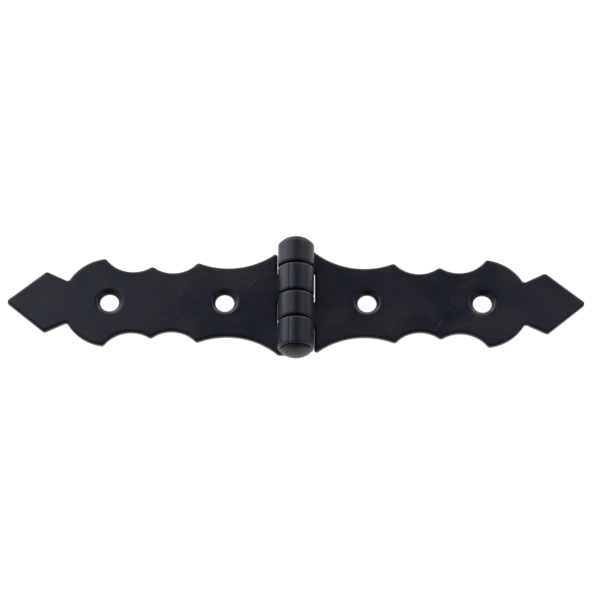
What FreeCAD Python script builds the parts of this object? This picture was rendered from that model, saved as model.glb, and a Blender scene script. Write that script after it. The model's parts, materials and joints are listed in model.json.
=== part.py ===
import FreeCAD, Part
import math
import os
import Sketcher

# A strap hinge: two stamped steel leaves, each rolled into two knuckles round one riveted pin.
# +X runs along the leaves, +Y along the pin, +Z out of the leaves' front faces. The origin is on the
# leaves' back plane, under the middle of the pin. Lengths are millimetres and angles are degrees.
#
# Both leaves have one outline, and the left one is turned half a turn about Z. In its own coordinates
# a leaf reaches out along +X. Its outer knuckle is at the +Y end of the barrel, and its inner knuckle
# is just below the middle. The two leaves' notches differ a little: the three gaps between the
# knuckles aren't quite evenly spaced, and the right leaf is cut further back from the barrel.

Vector = FreeCAD.Vector
Z_AXIS = Vector(0, 0, 1)
NEAR = 1e-4  # two positions closer than this are the same place

# The ends of a sketch element, as constraints number them, and the sketch's own origin and axes.
START, END, CENTRE = 1, 2, 3
ORIGIN = (-1, 1)
X_LINE, Y_LINE = -1, -2

DIMENSIONS = [
    ("sheet_thickness", 1.5, "steel sheet that both leaves are stamped from"),
    ("leaf_reach", 75.0, "pin axis to the tip of a leaf"),
    ("bore_radius", 3.2, "inside of a rolled knuckle"),
    ("barrel_length", 29.55, "all four knuckles, end to end"),
    ("upper_gap", 8.15, "middle of the barrel up to the middle of its upper gap"),
    ("middle_gap", 0.2, "middle of the barrel up to the middle of its middle gap"),
    ("lower_gap", 7.05, "middle of the barrel down to the middle of its lower gap"),
    ("knuckle_gap", 0.45, "space between neighbouring knuckles"),
    ("seam_gap", 0.15, "rolled end of a knuckle to the front of its own leaf"),
    ("left_end_edge", 4.8, "pin axis to the left leaf's edge beside the uppermost knuckle"),
    ("right_middle_edge", 4.88, "pin axis to the right leaf's edge beside the second knuckle"),
    ("left_middle_edge", 4.73, "pin axis to the left leaf's edge beside the third knuckle"),
    ("right_end_edge", 4.73, "pin axis to the right leaf's edge beside the lowest knuckle"),
    ("notch_overrun", 1.0, "how far the notch cuts run past the barrel"),
    ("inner_hole_x", 18.5, "pin axis to the nearer screw hole"),
    ("hole_spacing", 30.0, "between the two screw holes of a leaf"),
    ("hole_diameter", 4.9, "screw hole"),
    ("countersink_diameter", 6.7, "mouth of the countersink, before rounding"),
    ("countersink_angle", 90.0, "whole angle of the countersink"),
    ("waist_x", 17.8, "long scallop: centre along the leaf"),
    ("waist_y", 29.75, "long scallop: centre out from the leaf's middle line"),
    ("waist_radius", 20.0, "long scallop"),
    ("inner_scallop_x", 32.15, "scallop nearer the pin: centre along the leaf"),
    ("inner_scallop_y", 16.6, "scallop nearer the pin: centre out from the middle line"),
    ("inner_scallop_radius", 8.3, "scallop nearer the pin"),
    ("outer_scallop_x", 42.6, "scallop nearer the bulb: centre along the leaf"),
    ("outer_scallop_y", 17.2, "scallop nearer the bulb: centre out from the middle line"),
    ("outer_scallop_radius", 8.6, "scallop nearer the bulb"),
    ("bulb_x", 48.3, "round bulb about the outer screw hole: centre along the leaf"),
    ("bulb_radius", 12.5, "round bulb"),
    ("neck_half_width", 5.83, "neck between the bulb and the spear point, before rounding"),
    ("spear_x", 65.15, "widest place of the spear point, along the leaf"),
    ("spear_half_width", 8.66, "widest place of the spear point, before rounding"),
    ("tip_round", 0.95, "end of the spear point"),
    ("cusp_round", 1.0, "points between the scallops"),
    ("neck_round", 0.8, "inner corners of the neck"),
    ("spear_round", 0.9, "side corners of the spear point"),
    ("notch_round", 0.45, "inner corners of the knuckle notches"),
    ("shoulder_round", 0.65, "leaf's corner beside the end notch"),
    ("countersink_round", 1.2, "mouth of the countersink"),
    ("front_edge_round", 0.6, "edges of the sheet's front, which the stamping rolled over"),
    ("back_edge_round", 0.4, "edges of the sheet's back, which is the barrel's outside"),
    ("pin_radius", 3.12, "shaft of the pin"),
    ("head_clearance", 0.1, "end of the barrel to the seat of a pin head"),
    ("head_radius", 3.95, "rim of a pin head"),
    ("head_height", 1.95, "pin head, from its seat to its crown"),
    ("head_band", 0.2, "straight side of a pin head's rim"),
    ("head_shoulder", 0.6, "round between the rim and the dome of a pin head"),
    ("head_edge_round", 0.15, "seat edge of a pin head"),
]


# --- document and driving dimensions -------------------------------------------------------------

doc = FreeCAD.newDocument("strap_hinge")
dims = doc.addObject("Spreadsheet::Sheet", "dims")
for row, (alias, value, meaning) in enumerate(DIMENSIONS, start=1):
    dims.set(f"A{row}", alias)
    dims.set(f"B{row}", str(value))
    dims.setAlias(f"B{row}", alias)
    dims.set(f"C{row}", meaning)
doc.recompute()


def size(alias):
    """The value of one driving dimension."""
    return float(getattr(dims, alias))


# Sizes that follow from the driving ones, each with the formula that binds a feature to the sheet.
BARREL_RADIUS = size("bore_radius") + size("sheet_thickness")
BARREL_RADIUS_FORMULA = "dims.bore_radius + dims.sheet_thickness"
HALF_BARREL = size("barrel_length") / 2
HALF_BARREL_FORMULA = "dims.barrel_length / 2"
OUTER_HOLE_X = size("inner_hole_x") + size("hole_spacing")
OUTER_HOLE_X_FORMULA = "dims.inner_hole_x + dims.hole_spacing"
HALF_GAP = size("knuckle_gap") / 2
HALF_GAP_FORMULA = "dims.knuckle_gap / 2"
HEAD_SEAT = HALF_BARREL + size("head_clearance")
HEAD_SEAT_FORMULA = "dims.barrel_length / 2 + dims.head_clearance"


# --- sketch helpers ------------------------------------------------------------------------------

def origin_plane(body, role):
    """One of the body's own origin planes."""
    return next(item for item in body.Origin.OriginFeatures if item.Role == role)


def new_sketch(body, name, role):
    """An empty sketch on one of the body's origin planes."""
    sketch = body.newObject("Sketcher::SketchObject", name)
    sketch.AttachmentSupport = [(origin_plane(body, role), "")]
    sketch.MapMode = "FlatFace"
    return sketch


def line(start, end):
    """A straight edge between two sketch points."""
    return Part.LineSegment(Vector(*start), Vector(*end))


def arc(centre, radius, start_angle, end_angle):
    """An arc drawn anticlockwise from one angle to the other."""
    circle = Part.Circle(Vector(*centre), Z_AXIS, radius)
    return Part.ArcOfCircle(circle, math.radians(start_angle), math.radians(end_angle))


def bearing(centre, point):
    """The angle at which a point is seen from a centre."""
    return math.degrees(math.atan2(point[1] - centre[1], point[0] - centre[0]))


def at_angle(centre, radius, angle):
    """The point at an angle on a circle."""
    turn = math.radians(angle)
    return (centre[0] + radius * math.cos(turn), centre[1] + radius * math.sin(turn))


def arc_between(circle, first, second):
    """The arc of a circle that runs anticlockwise from one point to another."""
    centre, radius = circle
    return arc(centre, radius, bearing(centre, first), bearing(centre, second))


def crossing(first, second):
    """Where two circles cross, on the right-hand side of the way from the first to the second."""
    (ax, ay), a_radius = first
    (bx, by), b_radius = second
    apart = math.hypot(bx - ax, by - ay)
    unit = ((bx - ax) / apart, (by - ay) / apart)
    along = (a_radius**2 - b_radius**2 + apart**2) / (2 * apart)
    across = math.sqrt(a_radius**2 - along**2)
    return (ax + along * unit[0] + across * unit[1], ay + along * unit[1] - across * unit[0])


def constrain(sketch, kind, *elements):
    """Add a constraint that has no dimension."""
    sketch.addConstraint(Sketcher.Constraint(kind, *elements))


def drive(sketch, name, constraint, formula):
    """Add a named dimension to a sketch and bind it to the sheet."""
    index = sketch.addConstraint(constraint)
    sketch.renameConstraint(index, name)
    sketch.setExpression(f"Constraints.{name}", formula)


def drive_point(sketch, name, element, end, x_formula=None, y_formula=None):
    """Tie a point to the sketch's origin. Each formula gives a distance, which is never negative."""
    point = sketch.getPoint(element, end)
    for axis, value, formula in (("X", point.x, x_formula), ("Y", point.y, y_formula)):
        if formula is None:
            continue
        ends = (*ORIGIN, element, end) if value > 0 else (element, end, *ORIGIN)
        constraint = Sketcher.Constraint(f"Distance{axis}", *ends, abs(value))
        drive(sketch, f"{name}_{axis.lower()}", constraint, formula)


def drive_radius(sketch, name, element, formula):
    """Tie the radius of an arc or circle to the sheet."""
    radius = sketch.Geometry[element].Radius
    drive(sketch, f"{name}_radius", Sketcher.Constraint("Radius", element, radius), formula)


# --- feature helpers -----------------------------------------------------------------------------

def set_size(feature, prop, formula, value):
    """Give a feature's property its value and bind it to the sheet."""
    setattr(feature, prop, value)
    feature.setExpression(prop, formula)


def mirror_across_middle(body, feature, name):
    """Mirror a feature across the body's XZ plane, and make the whole the body's tip."""
    doc.recompute()
    mirrored = body.newObject("PartDesign::Mirrored", name)
    mirrored.Originals = [feature]
    mirrored.MirrorPlane = (origin_plane(body, "XZ_Plane"), [""])
    body.Tip = mirrored


def round_edges(body, name, alias, wanted):
    """Fillet the edges of the body that pass a test, with a radius from the sheet."""
    doc.recompute()
    base = body.Tip
    edges = [f"Edge{n}" for n, edge in enumerate(base.Shape.Edges, start=1) if wanted(edge)]
    fillet = body.newObject("PartDesign::Fillet", name)
    fillet.Base = (base, edges)
    set_size(fillet, "Radius", f"dims.{alias}", size(alias))


def stands_at(places):
    """A test for upright edges that stand at one of some places on the plate."""
    def wanted(edge):
        box = edge.BoundBox
        upright = box.XLength < NEAR and box.YLength < NEAR
        return upright and any(math.dist((box.XMin, box.YMin), place) < NEAR for place in places)

    return wanted


def require_cut(feature, before):
    """Stop if a cutting feature took nothing away."""
    doc.recompute()
    if not feature.Shape.Volume < before.Volume:
        raise RuntimeError(f"{feature.Label} cuts nothing")


# --- leaves --------------------------------------------------------------------------------------

def scallop(name):
    """Centre and radius of one scallop of a leaf's outline."""
    return (size(f"{name}_x"), size(f"{name}_y")), size(f"{name}_radius")


def bulb():
    """Centre and radius of a leaf's bulb."""
    return (size("bulb_x"), 0.0), size("bulb_radius")


def outline_corners():
    """The corners of the upper half of a leaf's outline, before any of them is rounded."""
    waist = scallop("waist")
    (waist_x, waist_y), waist_radius = waist
    root_x = waist_x - math.sqrt(waist_radius**2 - (waist_y - HALF_BARREL) ** 2)
    neck_x = size("bulb_x") + math.sqrt(size("bulb_radius") ** 2 - size("neck_half_width") ** 2)
    return {
        "root": (root_x, HALF_BARREL),
        "inner_cusp": crossing(waist, scallop("inner_scallop")),
        "middle_cusp": crossing(scallop("inner_scallop"), scallop("outer_scallop")),
        "bulb_cusp": crossing(bulb(), scallop("outer_scallop")),
        "neck": (neck_x, size("neck_half_width")),
        "spear": (size("spear_x"), size("spear_half_width")),
    }


def add_plate(body):
    """The flat leaf: half its outline padded to the sheet's thickness, then mirrored."""
    corner = outline_corners()
    tip = (size("leaf_reach"), 0.0)
    tip_centre = (size("leaf_reach") - size("tip_round"), 0.0)
    tip_to_spear = math.dist(tip_centre, corner["spear"])
    tangent_turn = math.degrees(math.acos(size("tip_round") / tip_to_spear))
    tip_turn = bearing(tip_centre, corner["spear"]) - tangent_turn
    spear_end = at_angle(tip_centre, size("tip_round"), tip_turn)

    sketch = new_sketch(body, "half_outline", "XY_Plane")
    add = sketch.addGeometry
    middle = add(line(tip, (0.0, 0.0)))
    root_side = add(line((0.0, 0.0), (0.0, HALF_BARREL)))
    strip_side = add(line((0.0, HALF_BARREL), corner["root"]))
    waist = add(arc_between(scallop("waist"), corner["root"], corner["inner_cusp"]))
    inner = add(
        arc_between(scallop("inner_scallop"), corner["inner_cusp"], corner["middle_cusp"])
    )
    outer = add(arc_between(scallop("outer_scallop"), corner["middle_cusp"], corner["bulb_cusp"]))
    round_bulb = add(arc_between(bulb(), corner["neck"], corner["bulb_cusp"]))
    neck_side = add(line(corner["neck"], corner["spear"]))
    spear_side = add(line(corner["spear"], spear_end))
    round_tip = add(arc(tip_centre, size("tip_round"), 0.0, tip_turn))

    constrain(sketch, "Coincident", middle, END, *ORIGIN)
    constrain(sketch, "Coincident", middle, END, root_side, START)
    constrain(sketch, "Coincident", root_side, END, strip_side, START)
    constrain(sketch, "Coincident", strip_side, END, waist, START)
    constrain(sketch, "Coincident", waist, END, inner, START)
    constrain(sketch, "Coincident", inner, END, outer, START)
    constrain(sketch, "Coincident", outer, END, round_bulb, END)
    constrain(sketch, "Coincident", round_bulb, START, neck_side, START)
    constrain(sketch, "Coincident", neck_side, END, spear_side, START)
    constrain(sketch, "Tangent", spear_side, END, round_tip, END)
    constrain(sketch, "Coincident", round_tip, START, middle, START)
    constrain(sketch, "Horizontal", middle)
    constrain(sketch, "Vertical", root_side)
    constrain(sketch, "Horizontal", strip_side)
    constrain(sketch, "PointOnObject", round_bulb, CENTRE, X_LINE)
    constrain(sketch, "PointOnObject", round_tip, CENTRE, X_LINE)

    drive_point(sketch, "barrel_end", root_side, END, y_formula=HALF_BARREL_FORMULA)
    for name, element in (("waist", waist), ("inner_scallop", inner), ("outer_scallop", outer)):
        drive_radius(sketch, name, element, f"dims.{name}_radius")
        drive_point(sketch, name, element, CENTRE, f"dims.{name}_x", f"dims.{name}_y")
    drive_radius(sketch, "bulb", round_bulb, "dims.bulb_radius")
    drive_point(sketch, "bulb", round_bulb, CENTRE, x_formula="dims.bulb_x")
    drive_point(sketch, "neck", neck_side, START, y_formula="dims.neck_half_width")
    drive_point(sketch, "spear", spear_side, START, "dims.spear_x", "dims.spear_half_width")
    drive_radius(sketch, "tip", round_tip, "dims.tip_round")
    drive_point(sketch, "tip", middle, START, x_formula="dims.leaf_reach")

    pad = body.newObject("PartDesign::Pad", "half_plate")
    pad.Profile = sketch
    set_size(pad, "Length", "dims.sheet_thickness", size("sheet_thickness"))
    mirror_across_middle(body, pad, "plate")


def add_roll(body):
    """The sheet rolled round the pin over the whole barrel: in section, a ring open at its seam."""
    pin_axis = (0.0, BARREL_RADIUS)
    seam_height = size("sheet_thickness") + size("seam_gap")
    seam_angle = -math.degrees(math.asin(1 - seam_height / BARREL_RADIUS))
    foot_angle = 270.0
    seam_inside = at_angle(pin_axis, size("bore_radius"), seam_angle)
    seam_outside = at_angle(pin_axis, BARREL_RADIUS, seam_angle)

    sketch = new_sketch(body, "roll_section", "XZ_Plane")
    outside = sketch.addGeometry(arc(pin_axis, BARREL_RADIUS, seam_angle, foot_angle))
    inside = sketch.addGeometry(arc(pin_axis, size("bore_radius"), seam_angle, foot_angle))
    seam = sketch.addGeometry(line(seam_inside, seam_outside))
    foot = sketch.addGeometry(line((0.0, 0.0), (0.0, size("sheet_thickness"))))

    constrain(sketch, "Coincident", foot, START, *ORIGIN)
    constrain(sketch, "Coincident", outside, END, foot, START)
    constrain(sketch, "Coincident", inside, END, foot, END)
    constrain(sketch, "Coincident", outside, START, seam, END)
    constrain(sketch, "Coincident", inside, START, seam, START)
    constrain(sketch, "Coincident", outside, CENTRE, inside, CENTRE)
    constrain(sketch, "Vertical", foot)
    constrain(sketch, "PointOnObject", outside, CENTRE, Y_LINE)
    constrain(sketch, "PointOnObject", outside, CENTRE, seam)
    drive_radius(sketch, "barrel", outside, BARREL_RADIUS_FORMULA)
    drive_radius(sketch, "bore", inside, "dims.bore_radius")
    drive_point(sketch, "seam", seam, END, y_formula="dims.sheet_thickness + dims.seam_gap")

    pad = body.newObject("PartDesign::Pad", "roll")
    pad.Profile = sketch
    pad.SideType = "Symmetric"
    set_size(pad, "Length", "dims.barrel_length", size("barrel_length"))


def add_notch_rectangle(sketch, name, low, high, low_formulas, high_formulas):
    """A rectangle in the notch sketch, tied at its lower right and its upper left corner."""
    corners = [low, (high[0], low[1]), high, (low[0], high[1])]
    sides = [
        sketch.addGeometry(line(start, end))
        for start, end in zip(corners, corners[1:] + corners[:1])
    ]
    for side, following in zip(sides, sides[1:] + sides[:1]):
        constrain(sketch, "Coincident", side, END, following, START)
    for side, kind in zip(sides, ("Horizontal", "Vertical", "Horizontal", "Vertical")):
        constrain(sketch, kind, side)
    drive_point(sketch, f"{name}_low", sides[0], END, high_formulas[0], low_formulas[1])
    drive_point(sketch, f"{name}_high", sides[2], END, low_formulas[0], high_formulas[1])


def notch_heights(first_gap, last_gap, middle_gap_side):
    """The top and foot of a leaf's middle notch and the top of its end notch, in its own frame."""
    return (
        size(first_gap) + HALF_GAP,
        middle_gap_side * size("middle_gap") - HALF_GAP,
        -(size(last_gap) - HALF_GAP),
    )


def add_notches(body, middle_edge, end_edge, first_gap, last_gap, middle_gap_side):
    """Two notches that clear the other leaf's knuckles and leave this leaf's own two.

    The middle notch is cut to one edge of the leaf and the end notch to another.
    The first gap is beside the leaf's outer knuckle and the last one is beyond its inner knuckle.
    The middle gap lies above the middle of the barrel on side +1 and below it on side -1.
    """
    middle_top, middle_foot, end_top = notch_heights(first_gap, last_gap, middle_gap_side)
    middle_foot_formula = f"{HALF_GAP_FORMULA} - {middle_gap_side} * dims.middle_gap"
    far_x = -(BARREL_RADIUS + size("notch_overrun"))
    far_x_formula = f"{BARREL_RADIUS_FORMULA} + dims.notch_overrun"
    sketch = new_sketch(body, "notch_outline", "XY_Plane")
    add_notch_rectangle(
        sketch,
        "middle_notch",
        (far_x, middle_foot),
        (size(middle_edge), middle_top),
        (far_x_formula, middle_foot_formula),
        (f"dims.{middle_edge}", f"dims.{first_gap} + {HALF_GAP_FORMULA}"),
    )
    add_notch_rectangle(
        sketch,
        "end_notch",
        (far_x, -(HALF_BARREL + size("notch_overrun"))),
        (size(end_edge), end_top),
        (far_x_formula, f"{HALF_BARREL_FORMULA} + dims.notch_overrun"),
        (f"dims.{end_edge}", f"dims.{last_gap} - {HALF_GAP_FORMULA}"),
    )
    doc.recompute()
    before = body.Shape.copy()
    pocket = body.newObject("PartDesign::Pocket", "notches")
    pocket.Profile = sketch
    pocket.SideType = "Symmetric"
    pocket.Type = "ThroughAll"
    require_cut(pocket, before)


def round_corners(body, middle_edge, end_edge, first_gap, last_gap, middle_gap_side):
    """Round the upright corners of the outline and of the notches."""
    corner = outline_corners()
    rounds = {
        "cusp_round": ("root", "inner_cusp", "middle_cusp", "bulb_cusp"),
        "neck_round": ("neck",),
        "spear_round": ("spear",),
    }
    for alias, names in rounds.items():
        upper = [corner[name] for name in names]
        lower = [(x, -y) for x, y in upper]
        round_edges(body, alias.replace("round", "corners"), alias, stands_at(upper + lower))

    (waist_x, waist_y), waist_radius = scallop("waist")
    outline_y = waist_y - math.sqrt(waist_radius**2 - (waist_x - size(end_edge)) ** 2)
    shoulder = (size(end_edge), -outline_y)
    edges = (size(middle_edge), size(middle_edge), size(end_edge))
    heights = notch_heights(first_gap, last_gap, middle_gap_side)
    inner_corners = list(zip(edges, heights))
    round_edges(body, "notch_corners", "notch_round", stands_at(inner_corners))
    round_edges(body, "shoulder_corner", "shoulder_round", stands_at([shoulder]))


def round_face_edges(body, name, alias, face_z):
    """Round the edges of the sheet's back or front. The rounds run on along the knuckles' ends."""
    def wanted(edge):
        box = edge.BoundBox
        on_face = box.ZLength < NEAR and abs(box.ZMin - face_z) < NEAR
        foot_of_roll = box.XMax < NEAR
        return on_face and not foot_of_roll

    round_edges(body, name, alias, wanted)


def add_screw_holes(body):
    """Two countersunk screw holes with rounded mouths, drilled from the front face."""
    sketch = new_sketch(body, "hole_centres", "XY_Plane")
    sketch.AttachmentOffset = FreeCAD.Placement(
        Vector(0, 0, size("sheet_thickness")), FreeCAD.Rotation()
    )
    sketch.setExpression(".AttachmentOffset.Base.z", "dims.sheet_thickness")
    centres = (
        ("inner_hole", size("inner_hole_x"), "dims.inner_hole_x"),
        ("outer_hole", OUTER_HOLE_X, OUTER_HOLE_X_FORMULA),
    )
    for name, x, x_formula in centres:
        circle = Part.Circle(Vector(x, 0, 0), Z_AXIS, size("hole_diameter") / 2)
        element = sketch.addGeometry(circle)
        constrain(sketch, "PointOnObject", element, CENTRE, X_LINE)
        drive_point(sketch, name, element, CENTRE, x_formula=x_formula)
        drive_radius(sketch, name, element, "dims.hole_diameter / 2")
    doc.recompute()
    before = body.Shape.copy()
    hole = body.newObject("PartDesign::Hole", "screw_holes")
    hole.Profile = sketch
    hole.DepthType = "ThroughAll"
    hole.DrillPoint = "Flat"
    hole.HoleCutType = "Countersink"
    hole.HoleCutCustomValues = True
    set_size(hole, "Diameter", "dims.hole_diameter", size("hole_diameter"))
    set_size(
        hole, "HoleCutDiameter", "dims.countersink_diameter", size("countersink_diameter")
    )
    set_size(
        hole, "HoleCutCountersinkAngle", "dims.countersink_angle", size("countersink_angle")
    )
    require_cut(hole, before)

    def at_mouth(edge):
        on_front = abs(edge.BoundBox.ZMin - size("sheet_thickness")) < NEAR
        radius = getattr(edge.Curve, "Radius", 0.0)
        return on_front and abs(radius - size("countersink_diameter") / 2) < NEAR

    round_edges(body, "countersink_mouths", "countersink_round", at_mouth)


def make_leaf(name, turn, *notches):
    """One stamped and rolled leaf, turned about Z into its place. See add_notches for its notches."""
    body = doc.addObject("PartDesign::Body", name)
    body.Label = name
    add_plate(body)
    add_roll(body)
    add_notches(body, *notches)
    round_corners(body, *notches)
    round_face_edges(body, "back_edges", "back_edge_round", 0.0)
    round_face_edges(body, "front_edges", "front_edge_round", size("sheet_thickness"))
    add_screw_holes(body)
    body.Placement = FreeCAD.Placement(Vector(0, 0, 0), FreeCAD.Rotation(Z_AXIS, turn))
    return body


# --- pin -----------------------------------------------------------------------------------------

def dome_radius():
    """Radius of the dome that meets the shoulder round of a pin head smoothly."""
    reach = size("head_radius") - size("head_shoulder")
    rise = size("head_height") - size("head_band") - size("head_shoulder")
    return (reach**2 + rise**2) / (2 * rise) + size("head_shoulder")


def make_pin(name):
    """The riveted pin: half its profile turned about its axis, then mirrored."""
    shoulder_centre = (size("head_radius") - size("head_shoulder"), HEAD_SEAT + size("head_band"))
    crown = (0.0, HEAD_SEAT + size("head_height"))
    dome_centre = (0.0, crown[1] - dome_radius())
    shoulder_angle = bearing(dome_centre, shoulder_centre)
    seat_inside = (size("pin_radius"), HEAD_SEAT)
    seat_outside = (size("head_radius"), HEAD_SEAT)
    band_end = (size("head_radius"), HEAD_SEAT + size("head_band"))

    body = doc.addObject("PartDesign::Body", name)
    body.Label = name
    sketch = new_sketch(body, "half_profile", "XY_Plane")
    add = sketch.addGeometry
    axis = add(line(crown, (0.0, 0.0)))
    middle = add(line((0.0, 0.0), (size("pin_radius"), 0.0)))
    shaft = add(line((size("pin_radius"), 0.0), seat_inside))
    seat = add(line(seat_inside, seat_outside))
    band = add(line(seat_outside, band_end))
    shoulder = add(arc(shoulder_centre, size("head_shoulder"), 0.0, shoulder_angle))
    dome = add(arc(dome_centre, dome_radius(), shoulder_angle, 90.0))

    constrain(sketch, "Coincident", axis, END, *ORIGIN)
    constrain(sketch, "Coincident", axis, END, middle, START)
    constrain(sketch, "Coincident", middle, END, shaft, START)
    constrain(sketch, "Coincident", shaft, END, seat, START)
    constrain(sketch, "Coincident", seat, END, band, START)
    constrain(sketch, "Tangent", band, END, shoulder, START)
    constrain(sketch, "Tangent", shoulder, END, dome, START)
    constrain(sketch, "Coincident", dome, END, axis, START)
    constrain(sketch, "Vertical", axis)
    constrain(sketch, "Horizontal", middle)
    constrain(sketch, "Vertical", shaft)
    constrain(sketch, "Horizontal", seat)
    constrain(sketch, "Vertical", band)
    constrain(sketch, "PointOnObject", dome, CENTRE, Y_LINE)
    drive_point(sketch, "shaft", middle, END, x_formula="dims.pin_radius")
    drive_point(sketch, "rim", seat, END, "dims.head_radius", HEAD_SEAT_FORMULA)
    drive_point(
        sketch, "band", band, END, y_formula=f"{HEAD_SEAT_FORMULA} + dims.head_band"
    )
    drive_radius(sketch, "shoulder", shoulder, "dims.head_shoulder")
    drive_point(
        sketch, "crown", axis, START, y_formula=f"{HEAD_SEAT_FORMULA} + dims.head_height"
    )

    turned = body.newObject("PartDesign::Revolution", "half_pin")
    turned.Profile = sketch
    turned.ReferenceAxis = (sketch, ["V_Axis"])
    turned.Angle = 360
    mirror_across_middle(body, turned, "whole_pin")

    def at_seat_rim(edge):
        box = edge.BoundBox
        at_seat = box.YLength < NEAR and abs(abs(box.YMin) - HEAD_SEAT) < NEAR
        return at_seat and abs(box.XMax - size("head_radius")) < NEAR

    round_edges(body, "head_edges", "head_edge_round", at_seat_rim)
    body.Placement = FreeCAD.Placement(Vector(0, 0, BARREL_RADIUS), FreeCAD.Rotation())
    body.setExpression(".Placement.Base.z", BARREL_RADIUS_FORMULA)
    return body


# --- build, check and write ----------------------------------------------------------------------

def check_document(pieces):
    """Stop if any object failed, or if a piece is not one valid solid."""
    for item in doc.Objects:
        if {"Invalid", "Error"} & set(item.State):
            raise RuntimeError(f"{item.Label} failed: {item.State}")
    for piece in pieces:
        shape = piece.Shape
        if shape.isNull() or not shape.isValid() or len(shape.Solids) != 1:
            raise RuntimeError(f"{piece.Label} is not one valid solid")


pieces = [
    make_leaf(
        "leaf_right", 0.0, "right_middle_edge", "right_end_edge", "upper_gap", "lower_gap", 1
    ),
    make_leaf(
        "leaf_left", 180.0, "left_middle_edge", "left_end_edge", "lower_gap", "upper_gap", -1
    ),
    make_pin("hinge_pin"),
]
doc.recompute()
check_document(pieces)
os.makedirs("parts", exist_ok=True)
for piece in pieces:
    piece.Shape.exportStep(f"parts/{piece.Label}.step")
    print(f"{piece.Label}: {piece.Shape.Volume:.1f} cubic millimetres")
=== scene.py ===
import json
import math

import bpy
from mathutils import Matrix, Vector


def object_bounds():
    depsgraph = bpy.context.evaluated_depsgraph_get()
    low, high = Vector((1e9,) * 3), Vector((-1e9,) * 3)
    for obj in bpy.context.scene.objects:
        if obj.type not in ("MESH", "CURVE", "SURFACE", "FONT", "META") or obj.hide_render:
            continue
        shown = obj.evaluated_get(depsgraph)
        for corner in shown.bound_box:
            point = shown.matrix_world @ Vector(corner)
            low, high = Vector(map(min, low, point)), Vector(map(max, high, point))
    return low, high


# Looks of the strap hinge: black painted sheet-steel leaves round a riveted pin, on a white studio
# table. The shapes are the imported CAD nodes; this script gives them paint, light and a camera.

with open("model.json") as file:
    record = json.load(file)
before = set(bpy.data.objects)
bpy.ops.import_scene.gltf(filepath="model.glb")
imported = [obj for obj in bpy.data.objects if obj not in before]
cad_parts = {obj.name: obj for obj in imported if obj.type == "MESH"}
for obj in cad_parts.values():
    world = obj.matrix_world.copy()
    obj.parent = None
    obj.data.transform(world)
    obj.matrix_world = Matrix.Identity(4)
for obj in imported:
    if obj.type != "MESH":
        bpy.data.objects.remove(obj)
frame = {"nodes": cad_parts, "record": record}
CAD_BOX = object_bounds()

MM = 0.001
LEAF_REACH = CAD_BOX[1].x

# The stamped sheet and its barrel
SHEET_TOP = 1.5 * MM
BARREL_REACH = 5.0 * MM  # from the pin's axis to where a leaf's plain sheet begins
COUNTERSINK_RADIUS = 3.85 * MM
SOFT_EDGE = 0.9 * MM  # radius that the paint rounds edges to on the faces
CRISP_EDGE = 0.15 * MM  # and on the sheet's cut sides
HOLE_CRISPNESS = 0.6  # how far the screw holes' edges go from soft to crisp
ENAMEL_IOR = 1.5

# Grain of the paint's marks: a noise's scale, in waves per metre
BROAD_GRAIN = 60.0
STAIN_GRAIN = 130.0
WEAR_GRAIN = 420.0
FINE_GRAIN = 700.0
PEEL_GRAIN = 1300.0
CHIP_GRAIN = 2200.0
WANDER_GRAIN = 260.0
SCUFF_PATCH_GRAIN = 75.0
SCUFF_GRAIN = (190.0, 2600.0, 190.0)
ROLL_GRAIN = (1500.0, 90.0, 1500.0)
STAIN_SQUEEZE = (1.0, 1.3, 1.0)
STAIN_TURN = (0.0, 0.0, 0.5)

# How much the marks colour the paint, and how much they change its roughness
STAIN_SHARE = 0.8
FINE_SHARE = 0.25
# painted highlight: how strongly the lighter lines along the knuckles stand in for highlight streaks
STREAK_SHEEN_GAIN = 3.0  # more than 1, as the streaks are faint
NICK_SHARE = 0.5
SCUFF_SHARE = 0.35
# painted light: the cut sides' paler colour partly stands in for the floor's light on them
CUT_SIDE_PAINT_AND_LIGHT_SHARE = 0.8
CHIP_SHARE = 0.30
BROAD_UNEVENNESS = 0.05
STAIN_UNEVENNESS = 0.04
FINE_UNEVENNESS = 0.03
SCUFF_DULLNESS = 0.12
HOLE_GLOSS = 0.06

# Size, depth and height of the marks
NICK_SPACING = 6.0 * MM
NICK_SIZE = 0.32 * MM
NICKS_PER_CELL = 0.35
NICK_DEPTH = 0.04 * MM
WAVE_HEIGHT = 0.06 * MM
PEEL_HEIGHT = 0.007 * MM
ROLL_HEIGHT = 0.016 * MM

# The line that the rolling die's edge pressed along the left leaf's knuckles
LEFT_DIE_LINE = -1.6 * MM  # across the barrel from the pin's axis
DIE_LINE_HALF_WIDTH = 0.42 * MM
DIE_LINE_DEPTH = 0.10 * MM
DIE_LINE_WANDER = 0.25 * MM
CHIPPED_RIM_AWAY = 0.35 * MM  # from the line's middle to the middle of its chipped rim
CHIPPED_RIM_HALF_WIDTH = 0.30 * MM

# Colours of the room and the lamps
BACKDROP_WHITE = (1.0, 0.985, 0.965, 1.0)
LEFT_WALL = (0.95, 0.98, 1.12, 1.0)
RIGHT_WALL = (0.34, 0.36, 0.44, 1.0)
BACK_WALL = (0.92, 0.92, 0.98, 1.0)
CEILING = (0.100, 0.112, 0.190, 1.0)
CAMERA_SIDE = (0.062, 0.057, 0.055, 1.0)
FRONT_CORNERS = (0.40, 0.41, 0.45, 1.0)
LOW_LAMP_COLOUR = (0.80, 0.96, 1.30)
HIGH_LAMP_COLOUR = (0.92, 0.96, 1.06)
BACK_LAMP_COLOUR = (1.00, 0.97, 0.94)


# ---------------------------------------------------------------- shader-tree helpers

def new_material(name):
    """A material with an empty shader tree, and that tree."""
    material = bpy.data.materials.new(name)
    material.use_nodes = True
    material.node_tree.nodes.clear()
    return material, material.node_tree


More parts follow.
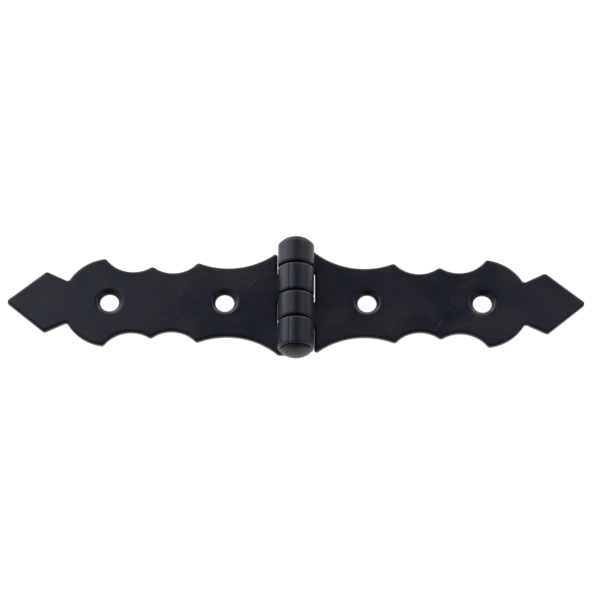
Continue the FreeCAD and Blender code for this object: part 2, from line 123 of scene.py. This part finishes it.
def node(tree, kind, inputs, **settings):
    """A new node; inputs maps a socket's name or number to a value or to another node's output."""
    made = tree.nodes.new("ShaderNode" + kind)
    for name, value in settings.items():
        setattr(made, name, value)
    for socket, value in inputs.items():
        if isinstance(value, bpy.types.NodeSocket):
            tree.links.new(value, made.inputs[socket])
        else:
            made.inputs[socket].default_value = value
    return made


def maths(tree, operation, first, second=0.0, third=0.0, clamp=False):
    made = node(tree, "Math", {0: first, 1: second, 2: third}, operation=operation, use_clamp=clamp)
    return made.outputs[0]


def times(tree, first, second, clamp=False):
    return maths(tree, "MULTIPLY", first, second, clamp=clamp)


def remap(tree, value, low, high, to_low=0.0, to_high=1.0, smooth=False):
    """value between low and high, carried to between to_low and to_high, and held at the ends."""
    made = node(tree, "MapRange",
                {"Value": value, "From Min": low, "From Max": high, "To Min": to_low, "To Max": to_high},
                interpolation_type="SMOOTHSTEP" if smooth else "LINEAR", clamp=True)
    return made.outputs["Result"]


def mix_colours(tree, share, first, second):
    """The first colour with a share of the second; a Mix node's colours are its inputs 6 and 7."""
    made = node(tree, "Mix", {0: share, 6: first, 7: second}, data_type="RGBA", clamp_factor=True)
    return made.outputs[2]


def noise(tree, place, grain, detail=2.0, roughness=0.5):
    made = node(tree, "TexNoise",
                {"Vector": place, "Scale": grain, "Detail": detail, "Roughness": roughness},
                noise_dimensions="3D")
    return made.outputs["Fac"]


def part_of(tree, vector, axis):
    """A vector's X, Y or Z."""
    return node(tree, "SeparateXYZ", {"Vector": vector}).outputs[axis]


def stretched(tree, place, scale, turn=(0.0, 0.0, 0.0)):
    """The place vector scaled apart along each axis and then turned, for noise that is drawn out."""
    made = node(tree, "Mapping", {"Vector": place, "Rotation": turn, "Scale": scale})
    return made.outputs["Vector"]


def bump(tree, height, distance, normal):
    """The normal tilted by a relief; distance is how high it stands where height is 1."""
    made = node(tree, "Bump",
                {"Height": height, "Distance": distance, "Strength": 1.0, "Normal": normal})
    return made.outputs["Normal"]


# ---------------------------------------------------------------- masks

def edge_mask(tree, rounded, low, high):
    """1 on the edges, where the softened normal leaves the true one, and 0 on open surfaces."""
    true_normal = node(tree, "NewGeometry", {}).outputs["Normal"]
    likeness = node(tree, "VectorMath", {0: rounded, 1: true_normal}, operation="DOT_PRODUCT")
    return remap(tree, likeness.outputs["Value"], high, low)


def nick_mask(tree, place):
    """Small round dings, one in some of the cells of a random lattice."""
    cells = node(tree, "TexVoronoi", {"Vector": place, "Scale": 1 / NICK_SPACING}, feature="F1")
    pick = node(tree, "SeparateColor", {"Color": cells.outputs["Color"]}).outputs["Red"]
    chosen = maths(tree, "LESS_THAN", pick, NICKS_PER_CELL)
    size = NICK_SIZE / NICK_SPACING
    return times(tree, chosen, remap(tree, cells.outputs["Distance"], size, size / 3))


def scuff_mask(tree, place, turn, low, high):
    """Fine short scratches along one direction of the leaf's face, thinned out by a coarse pattern."""
    turned = node(tree, "VectorRotate", {"Vector": place, "Angle": turn}, rotation_type="Z_AXIS")
    lines = noise(tree, stretched(tree, turned.outputs["Vector"], SCUFF_GRAIN), 1.0, 1.0)
    patches = noise(tree, place, SCUFF_PATCH_GRAIN, 1.0)
    return times(tree, remap(tree, lines, low, high), remap(tree, patches, 0.52, 0.68))


def screw_hole_mask(tree, place):
    """1 about a leaf's two screw holes, out to just past their countersinks, and 0 elsewhere."""
    screws = next(mount for mount in frame["record"]["mounts"] if mount["kind"] == "bolt_pattern")
    middle = abs(screws["pos_m"][0])
    half_spacing = screws["dims"]["spacing_x_mm"] * MM / 2
    along = maths(tree, "SUBTRACT", maths(tree, "ABSOLUTE", part_of(tree, place, "X")), middle)
    along = maths(tree, "SUBTRACT", maths(tree, "ABSOLUTE", along), half_spacing)
    across = part_of(tree, place, "Y")
    squared = maths(tree, "ADD", times(tree, along, along), times(tree, across, across))
    distance = maths(tree, "SQRT", squared)
    return remap(tree, distance, COUNTERSINK_RADIUS + 1.4 * MM, COUNTERSINK_RADIUS + 0.4 * MM)


# The cut sides' paler paint is partly thin paint and partly painted light from the floor.
def cut_side_mask(tree, place, screw_holes):
    """1 on the sheet's cut sides, between its rounded edges, away from barrel and screw holes."""
    height = part_of(tree, place, "Z")
    below_front = remap(tree, height, SHEET_TOP - 0.35 * MM, SHEET_TOP - 0.55 * MM)
    above_back = remap(tree, height, 0.02 * MM, 0.15 * MM)
    from_axis = maths(tree, "ABSOLUTE", part_of(tree, place, "X"))
    off_barrel = remap(tree, from_axis, BARREL_REACH, BARREL_REACH + 0.4 * MM)
    sides = times(tree, times(tree, below_front, above_back), off_barrel)
    return times(tree, sides, maths(tree, "SUBTRACT", 1.0, screw_holes))


def barrel_mask(tree, place):
    """1 on the barrel, which stands above the leaves, and 0 on the flat sheet."""
    return remap(tree, part_of(tree, place, "Z"), SHEET_TOP + 0.3 * MM, SHEET_TOP + 1.2 * MM)


def roll_streaks_and_sheen(tree, place):
    """Lines along the knuckles, above and below 0, and 0 off the barrel: drawing marks, lighter in
    colour as painted highlight.
    """
    marks = noise(tree, stretched(tree, place, ROLL_GRAIN), 1.0, 3.0)
    return times(tree, maths(tree, "SUBTRACT", marks, 0.5), barrel_mask(tree, place))


def die_line(tree, place, across, half_width):
    """A line along the barrel that wanders a little: 1 along its middle, 0 at its sides."""
    wander = maths(tree, "SUBTRACT", noise(tree, place, WANDER_GRAIN, 1.0), 0.5)
    side = maths(tree, "MULTIPLY_ADD", wander, DIE_LINE_WANDER, part_of(tree, place, "X"))
    distance = maths(tree, "ABSOLUTE", maths(tree, "SUBTRACT", side, across))
    line = remap(tree, distance, half_width, 0.0, smooth=True)
    return times(tree, line, barrel_mask(tree, place))


def chipped_rim(tree, place, across):
    """Specks of thin paint along the die line's right-hand rim."""
    rim = die_line(tree, place, across + CHIPPED_RIM_AWAY, CHIPPED_RIM_HALF_WIDTH)
    return times(tree, rim, remap(tree, noise(tree, place, CHIP_GRAIN, 1.0), 0.52, 0.60))


# ---------------------------------------------------------------- paints

def softened_normal(tree, screw_holes, cut_sides):
    """The normal with edges rounded as paint rounds them: softly on faces, crisply on cut sides."""
    crisp = maths(tree, "MAXIMUM", times(tree, screw_holes, HOLE_CRISPNESS), cut_sides)
    radius = remap(tree, crisp, 0.0, 1.0, SOFT_EDGE, CRISP_EDGE)
    return node(tree, "Bevel", {"Radius": radius}, samples=8).outputs["Normal"]


def uneven(tree, mark, amount, middle=0.0):
    """A roughness that follows a noise, up to an amount above and below its middle."""
    return remap(tree, mark, 0.3, 0.7, middle - amount, middle + amount)


def paint(name, dark, light, dusty_and_sheen, worn_and_glint, cut_side_paint_and_light, roughness, edge_rub_and_glint_share, groove_across=None):
    """Black enamel over steel: mottled colour, orange peel, nicks, scuffs and paler edges.

    The body colour runs between dark, light and a dust tone. Lighter lines along the knuckles are
    partly dust in drawing marks and partly painted highlight; the edges are paler in patches, partly
    thin paint and partly painted highlight; the cut sides are paler, partly thin paint and partly
    painted light from the floor. groove_across is the place of the die line on a leaf that has one.
    """
    material, tree = new_material(name)
    place = node(tree, "TexCoord", {}).outputs["Object"]
    screw_holes = screw_hole_mask(tree, place)
    cut_sides = cut_side_mask(tree, place, screw_holes)
    softened = softened_normal(tree, screw_holes, cut_sides)

    broad = noise(tree, place, BROAD_GRAIN, 3.0)
    stain = noise(tree, stretched(tree, place, STAIN_SQUEEZE, STAIN_TURN), STAIN_GRAIN, 4.0, 0.6)
    fine = noise(tree, place, FINE_GRAIN)
    peel = noise(tree, place, PEEL_GRAIN, 1.0)
    streaks_and_sheen = roll_streaks_and_sheen(tree, place)
    nicks = nick_mask(tree, place)
    scuffs = maths(tree, "MAXIMUM", scuff_mask(tree, place, turn=0.35, low=0.66, high=0.74),
                   scuff_mask(tree, place, turn=-0.9, low=0.67, high=0.75))
    # paler edges in patches: partly thin, worn paint and partly painted highlight on the rounded edges
    thin_spots = remap(tree, noise(tree, place, WEAR_GRAIN, 3.0), 0.46, 0.66)
    edges = edge_mask(tree, softened, low=0.90, high=0.985)
    rubbed_edges_and_glint = times(tree, times(tree, edges, thin_spots), edge_rub_and_glint_share)

    colour = mix_colours(tree, remap(tree, broad, 0.38, 0.62), dark, light)
    colour = mix_colours(tree, remap(tree, stain, 0.44, 0.72, to_high=STAIN_SHARE), colour, dusty_and_sheen)
    colour = mix_colours(tree, remap(tree, fine, 0.45, 0.75, to_high=FINE_SHARE), colour, light)
    # lighter lines along the knuckles: partly dust in drawing marks, partly painted highlight
    colour = mix_colours(tree, times(tree, streaks_and_sheen, STREAK_SHEEN_GAIN, clamp=True), colour, dusty_and_sheen)
    colour = mix_colours(tree, times(tree, nicks, NICK_SHARE), colour, worn_and_glint)
    colour = mix_colours(tree, times(tree, scuffs, SCUFF_SHARE), colour, worn_and_glint)
    # cut sides: paler with thin paint, and with painted light standing in for the floor's light on them
    colour = mix_colours(tree, times(tree, cut_sides, CUT_SIDE_PAINT_AND_LIGHT_SHARE), colour, cut_side_paint_and_light)
    # edges: partly worn paint, partly painted highlight
    colour = mix_colours(tree, rubbed_edges_and_glint, colour, worn_and_glint)

    rough = uneven(tree, broad, BROAD_UNEVENNESS, roughness)
    rough = maths(tree, "ADD", rough, uneven(tree, stain, STAIN_UNEVENNESS))
    rough = maths(tree, "ADD", rough, uneven(tree, fine, FINE_UNEVENNESS))
    rough = maths(tree, "ADD", rough, times(tree, scuffs, SCUFF_DULLNESS))
    rough = maths(tree, "SUBTRACT", rough, times(tree, screw_holes, HOLE_GLOSS), clamp=True)

    normal = bump(tree, broad, WAVE_HEIGHT, softened)
    normal = bump(tree, peel, PEEL_HEIGHT, normal)
    normal = bump(tree, streaks_and_sheen, ROLL_HEIGHT, normal)
    normal = bump(tree, times(tree, nicks, -1.0), NICK_DEPTH, normal)

    if groove_across is not None:
        chips = times(tree, chipped_rim(tree, place, groove_across), CHIP_SHARE)
        colour = mix_colours(tree, chips, colour, worn_and_glint)
        groove = die_line(tree, place, groove_across, DIE_LINE_HALF_WIDTH)
        normal = bump(tree, times(tree, groove, -1.0), DIE_LINE_DEPTH, normal)

    shader = node(tree, "BsdfPrincipled",
                  {"Base Color": colour, "Roughness": rough, "Normal": normal, "IOR": ENAMEL_IOR})
    node(tree, "OutputMaterial", {"Surface": shader.outputs["BSDF"]})
    return material


# The thin-paint colour of nicks, scuffs and edges is on the edges partly painted highlight; the dust
# tone also colours the lighter lines along the knuckles, partly painted highlight.
LEAF_PAINT = dict(dark=(0.0045, 0.0060, 0.0110, 1.0), light=(0.0120, 0.0110, 0.0185, 1.0),
                  dusty_and_sheen=(0.0230, 0.0205, 0.0225, 1.0), worn_and_glint=(0.110, 0.102, 0.098, 1.0),
                  roughness=0.36, edge_rub_and_glint_share=0.5)
PIN_PAINT = dict(dark=(0.0100, 0.0095, 0.0105, 1.0), light=(0.0170, 0.0160, 0.0160, 1.0),
                 dusty_and_sheen=(0.0300, 0.0270, 0.0240, 1.0), worn_and_glint=(0.110, 0.100, 0.092, 1.0),
                 roughness=0.34, edge_rub_and_glint_share=0.6)
# The cut sides' colours are thin paint lightened as painted light from the floor; the right leaf's is
# paler still, painted light.
LEFT_CUT_SIDE_PAINT_AND_LIGHT = (0.110, 0.102, 0.098, 1.0)  # thin paint on the sheet's cut sides
RIGHT_CUT_SIDE_PAINT_AND_LIGHT = (0.180, 0.166, 0.157, 1.0)


def give(node_name, material):
    """Puts a material in a CAD node's only slot."""
    slots = frame["nodes"][node_name].data.materials
    slots.clear()
    slots.append(material)


def paint_the_parts():
    give("leaf_left", paint("leaf_left_paint", cut_side_paint_and_light=LEFT_CUT_SIDE_PAINT_AND_LIGHT, groove_across=LEFT_DIE_LINE,
                            **LEAF_PAINT))
    give("leaf_right", paint("leaf_right_paint", cut_side_paint_and_light=RIGHT_CUT_SIDE_PAINT_AND_LIGHT, **LEAF_PAINT))
    give("hinge_pin", paint("pin_paint", cut_side_paint_and_light=LEFT_CUT_SIDE_PAINT_AND_LIGHT, **PIN_PAINT))


# ---------------------------------------------------------------- studio

TABLE_HALF_WIDTH = 4.0
TABLE_HEIGHT = -1.25 * LEAF_REACH  # low enough for a leaf to swing down behind the door plane
TABLE_GLOW = 1.05


def build_table():
    """A plain, evenly lit white table top under the hinge."""
    left, right, height = -TABLE_HALF_WIDTH, TABLE_HALF_WIDTH, TABLE_HEIGHT
    mesh = bpy.data.meshes.new("table_top")
    mesh.from_pydata([(left, left, height), (right, left, height), (right, right, height),
                      (left, right, height)], [], [(0, 1, 2, 3)])
    table = bpy.data.objects.new("table_top", mesh)
    bpy.context.scene.collection.objects.link(table)
    material, tree = new_material("table_white")
    glow = node(tree, "Emission", {"Color": BACKDROP_WHITE, "Strength": TABLE_GLOW})
    node(tree, "OutputMaterial", {"Surface": glow.outputs[0]})
    mesh.materials.append(material)


def build_room():
    """A pale room: bright low walls, darker overhead and darkest on the camera's side."""
    world = bpy.data.worlds.new("room")
    world.use_nodes = True
    bpy.context.scene.world = world
    tree = world.node_tree
    tree.nodes.clear()
    way = node(tree, "TexCoord", {}).outputs["Generated"]
    across, away, up = (part_of(tree, way, axis) for axis in "XYZ")
    walls = mix_colours(tree, remap(tree, across, -0.8, 0.8), LEFT_WALL, RIGHT_WALL)
    room = mix_colours(tree, remap(tree, up, 0.05, 0.60, smooth=True), walls, CEILING)
    room = mix_colours(tree, remap(tree, away, 0.58, 0.80, smooth=True), room, BACK_WALL)
    sideways = maths(tree, "ABSOLUTE", across)
    front_wall = mix_colours(tree, remap(tree, sideways, 0.35, 0.65), CAMERA_SIDE, FRONT_CORNERS)
    room = mix_colours(tree, remap(tree, away, 0.10, -0.35, smooth=True), room, front_wall)
    glow = node(tree, "Background", {"Color": room, "Strength": 1.0})
    node(tree, "OutputWorld", {"Surface": glow.outputs[0]})


def softbox(name, place, aim, size, radiance, colour):
    """A soft rectangular lamp, as bright as a white surface times its radiance."""
    width, height = size
    light = bpy.data.lights.new(name, "AREA")
    light.shape = "RECTANGLE"
    light.size = width
    light.size_y = height
    light.energy = radiance * math.pi * width * height
    light.color = colour
    lamp = bpy.data.objects.new(name, light)
    lamp.location = place
    lamp.rotation_euler = (Vector(aim) - Vector(place)).to_track_quat("-Z", "Y").to_euler()
    bpy.context.scene.collection.objects.link(lamp)


def build_lights():
    """Low lamps draw the barrel's highlights, high ones lighten the tips, back ones the screw holes."""
    middle, left_tip, right_tip = (0, 0, 0), (-LEAF_REACH, 0, 0), (LEAF_REACH, 0, 0)
    softbox("left_low_lamp", place=(-0.44, 0.30, 0.13), aim=middle, size=(0.24, 0.28),
            radiance=1.95, colour=LOW_LAMP_COLOUR)
    softbox("right_low_lamp", place=(0.43, 0.30, 0.13), aim=middle, size=(0.24, 0.26),
            radiance=0.34, colour=LOW_LAMP_COLOUR)
    softbox("left_high_lamp", place=(-0.25, 0.20, 0.37), aim=left_tip, size=(0.26, 0.30),
            radiance=1.25, colour=HIGH_LAMP_COLOUR)
    softbox("right_high_lamp", place=(0.165, 0.10, 0.20), aim=right_tip, size=(0.10, 0.16),
            radiance=0.90, colour=HIGH_LAMP_COLOUR)
    softbox("left_back_lamp", place=(-0.30, 0.52, 0.11), aim=middle, size=(0.26, 0.20),
            radiance=4.2, colour=BACK_LAMP_COLOUR)
    softbox("right_back_lamp", place=(0.30, 0.52, 0.11), aim=middle, size=(0.26, 0.20),
            radiance=3.0, colour=BACK_LAMP_COLOUR)


# ---------------------------------------------------------------- camera

VIEW_ELEVATION = 65.5  # degrees above the leaves' plane
VIEW_DISTANCE = 0.70
VIEW_ROLL = 0.2  # degrees
VIEW_SLIDE = (1.05 * MM, 1.12 * MM)  # camera moved right and up from looking straight at the origin
LENS = 161.3  # millimetres, as is the sensor's width
SENSOR = 36.0


def build_camera():
    elevation = math.radians(VIEW_ELEVATION)
    back = Vector((0.0, -math.cos(elevation), math.sin(elevation)))
    up = Vector((0.0, math.sin(elevation), math.cos(elevation)))
    right = Vector((1.0, 0.0, 0.0))
    data = bpy.data.cameras.new("camera")
    data.lens = LENS
    data.sensor_width = SENSOR
    camera = bpy.data.objects.new("camera", data)
    camera.location = back * VIEW_DISTANCE + right * VIEW_SLIDE[0] + up * VIEW_SLIDE[1]
    camera.rotation_euler = (-back).to_track_quat("-Z", "Y").to_euler()
    camera.rotation_euler.rotate_axis("Z", math.radians(VIEW_ROLL))
    bpy.context.scene.collection.objects.link(camera)
    bpy.context.scene.camera = camera


paint_the_parts()
build_table()
build_room()
build_lights()
build_camera()
bpy.context.scene.view_settings.view_transform = "Standard"
